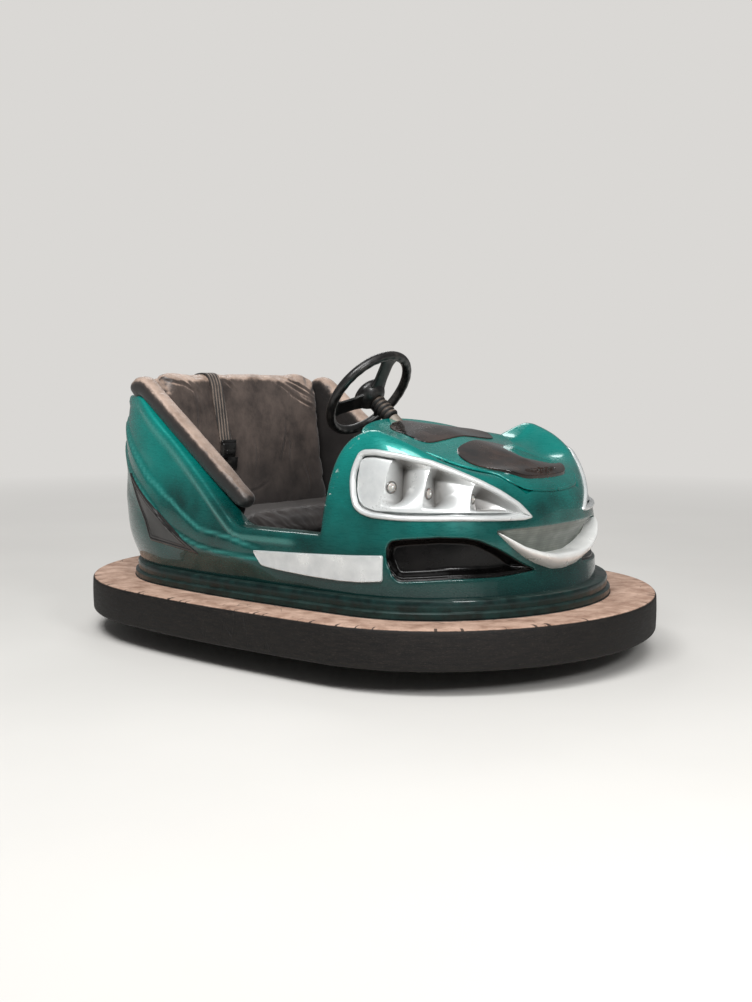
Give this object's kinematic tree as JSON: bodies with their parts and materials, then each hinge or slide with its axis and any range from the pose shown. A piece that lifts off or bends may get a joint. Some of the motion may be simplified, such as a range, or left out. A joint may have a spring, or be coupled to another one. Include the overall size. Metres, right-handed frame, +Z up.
{
  "type": "bumper car",
  "caption": "Fairground bumper car: moulded two-seat body with open cockpit on a steel chassis with a rubber bumper ring, steered front drive unit and rear wheels.",
  "frame": {"origin": "on the floor under the middle of the bumper ring", "axes": "+X to the nose, +Y to the car's left, +Z up"},
  "size_m": [1.84, 1.29, 0.8655],
  "materials": {
    "gelcoat_teal": "high gloss metallic gel coat",
    "skirt_teal": "gloss, dusty",
    "gloss_black": "high gloss",
    "satin_silver": "satin silver",
    "lamp_lens": "clear moulded lens",
    "grey_insert": "satin grey",
    "vinyl": "grained vinyl, dusty",
    "webbing": "woven webbing",
    "black_plastic": "moulded, satin",
    "black_rubber": "ribbed boot",
    "bumper_rubber": "worn rubber, dusty top",
    "tyre_rubber": "solid tyre",
    "painted_steel": "grey chassis paint",
    "bright_steel": "turned",
    "cast_motor": "painted casting",
    "seat_board": "black painted plywood",
    "battery_case": "moulded case"
  },
  "bodies": {
    "chassis": {"bumper_ring": "bumper_rubber", "bumper_rim": "painted_steel", "chassis_frame": "painted_steel", "floor_tray": "painted_steel", "drive_cover": "black_plastic", "skirt": "skirt_teal", "body_shell": "gelcoat_teal", "bonnet": "gelcoat_teal", "hood_panels": "gloss_black", "lamp_cluster_right": "satin_silver", "lamp_cluster_left": "satin_silver", "lamps": "lamp_lens", "intakes": "gloss_black", "sill_panels": "satin_silver", "mouth_lip": "satin_silver", "mouth_insert": "grey_insert", "vents": "gloss_black", "seat_box": "seat_board", "battery": "battery_case", "seat_base": "vinyl", "seat_back": "vinyl", "seat_side_right": "vinyl", "seat_side_left": "vinyl", "belt_strap": "webbing", "belt_buckle": "black_plastic", "pedal": "painted_steel", "steering_column": "painted_steel", "kingpin_bearing": "painted_steel", "rear_axle_right": "painted_steel", "rear_axle_left": "painted_steel"},
    "drive_unit": {"drive_fork": "painted_steel", "drive_motor": "cast_motor"},
    "drive_wheel": {"drive_hub": "bright_steel", "drive_tyre": "tyre_rubber"},
    "rear_wheel_right": {"rear_hub_right": "bright_steel", "rear_tyre_right": "tyre_rubber"},
    "rear_wheel_left": {"rear_hub_left": "bright_steel", "rear_tyre_left": "tyre_rubber"},
    "steering_wheel": {"steering_rim": "black_plastic", "steering_hub": "black_plastic", "steering_shaft": "bright_steel", "steering_boot": "black_rubber"}
  },
  "joints": [
    {"name": "drive_steer", "type": "hinge", "parent": "chassis", "child": "drive_unit", "pos_m": [0.5, 0, 0.3], "axis": [0, 0, 1], "continuous": true},
    {"name": "steering_wheel_turn", "type": "hinge", "parent": "chassis", "child": "steering_wheel", "pos_m": [0.036, 0, 0.74], "axis": [-0.7793, 0, 0.6266], "continuous": true},
    {"name": "drive_wheel_roll", "type": "hinge", "parent": "drive_unit", "child": "drive_wheel", "pos_m": [0.5, 0, 0.12], "axis": [0, 1, 0], "continuous": true},
    {"name": "rear_wheel_right_roll", "type": "hinge", "parent": "chassis", "child": "rear_wheel_right", "pos_m": [-0.5, -0.3, 0.1], "axis": [0, 1, 0], "continuous": true},
    {"name": "rear_wheel_left_roll", "type": "hinge", "parent": "chassis", "child": "rear_wheel_left", "pos_m": [-0.5, 0.3, 0.1], "axis": [0, 1, 0], "continuous": true}
  ],
  "couplings": [
    {"joint": "steering_wheel_turn", "follows": "drive_steer", "ratio": 1}
  ]
}
